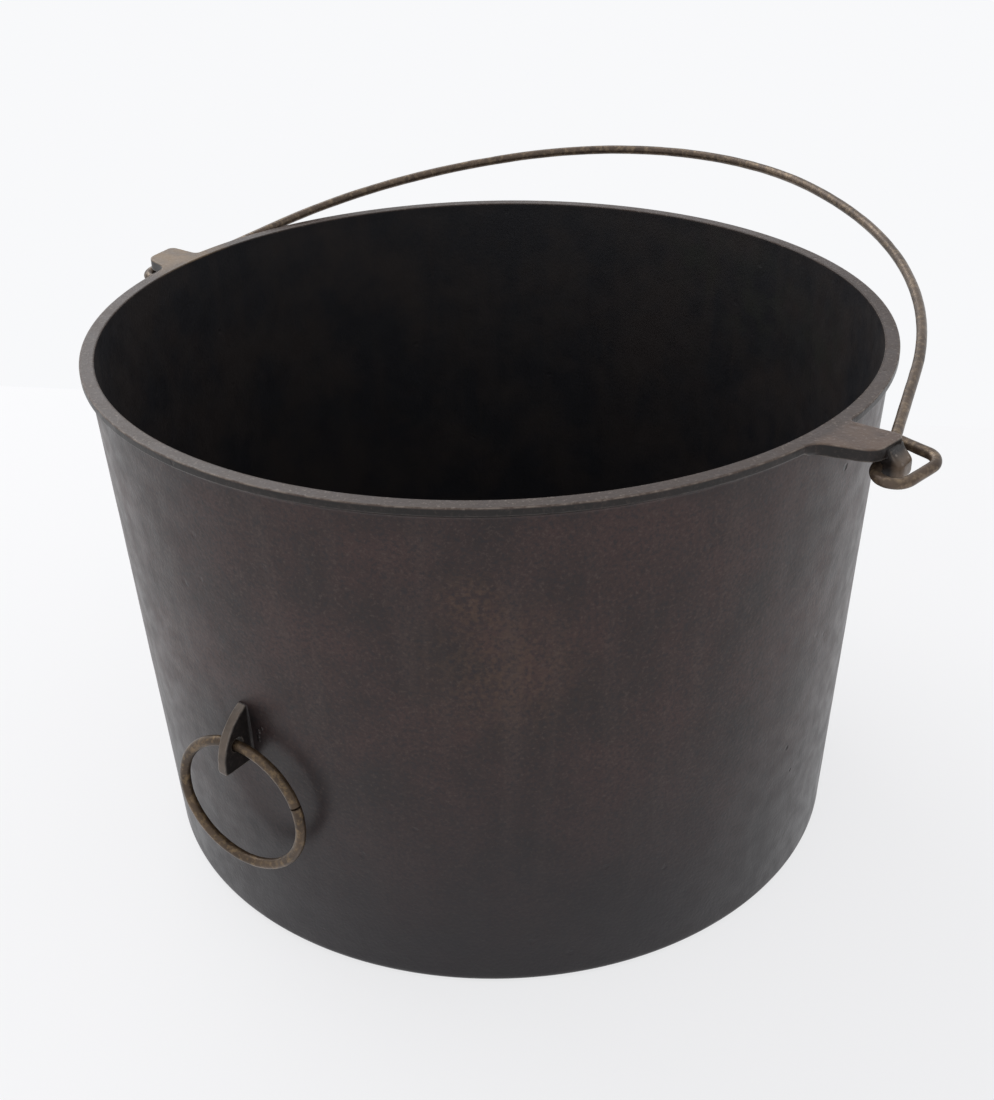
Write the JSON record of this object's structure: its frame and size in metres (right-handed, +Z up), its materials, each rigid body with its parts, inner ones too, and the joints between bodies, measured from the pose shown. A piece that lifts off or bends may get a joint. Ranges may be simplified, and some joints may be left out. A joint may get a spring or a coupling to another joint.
{
  "type": "flat bottom kettle",
  "caption": "Open cast iron cooking kettle with a flat bottom, two rim ears with downturned toes, a swinging wire bail and a tilt ring hung in a side lug.",
  "frame": {"origin": "centre of the flat base, on the surface that the kettle stands on", "axes": "+Z up, +X towards one ear along the line through both ears, -Y towards the tilt ring"},
  "size_m": [0.3119, 0.2936, 0.1986],
  "materials": {
    "cast_iron": "seasoned, dark brown-black, faint rust",
    "bail_wire": "worn, tan-brown patina",
    "ring_wire": "worn, brown patina"
  },
  "bodies": {
    "kettle": {"pot": "cast_iron"},
    "handle": {"bail": "bail_wire"},
    "ring": {"tilt_ring": "ring_wire"}
  },
  "joints": [
    {"name": "bail_swing", "type": "hinge", "parent": "kettle", "child": "handle", "pos_m": [0, -0.0047, 0.1732], "axis": [1, 0, 0], "range_deg": [0, 80]},
    {"name": "tilt_ring_swing", "type": "hinge", "parent": "kettle", "child": "ring", "pos_m": [0, -0.13224, 0.08505], "axis": [-0.9945, -0.1045, 0], "range_deg": [-6, 179]}
  ]
}
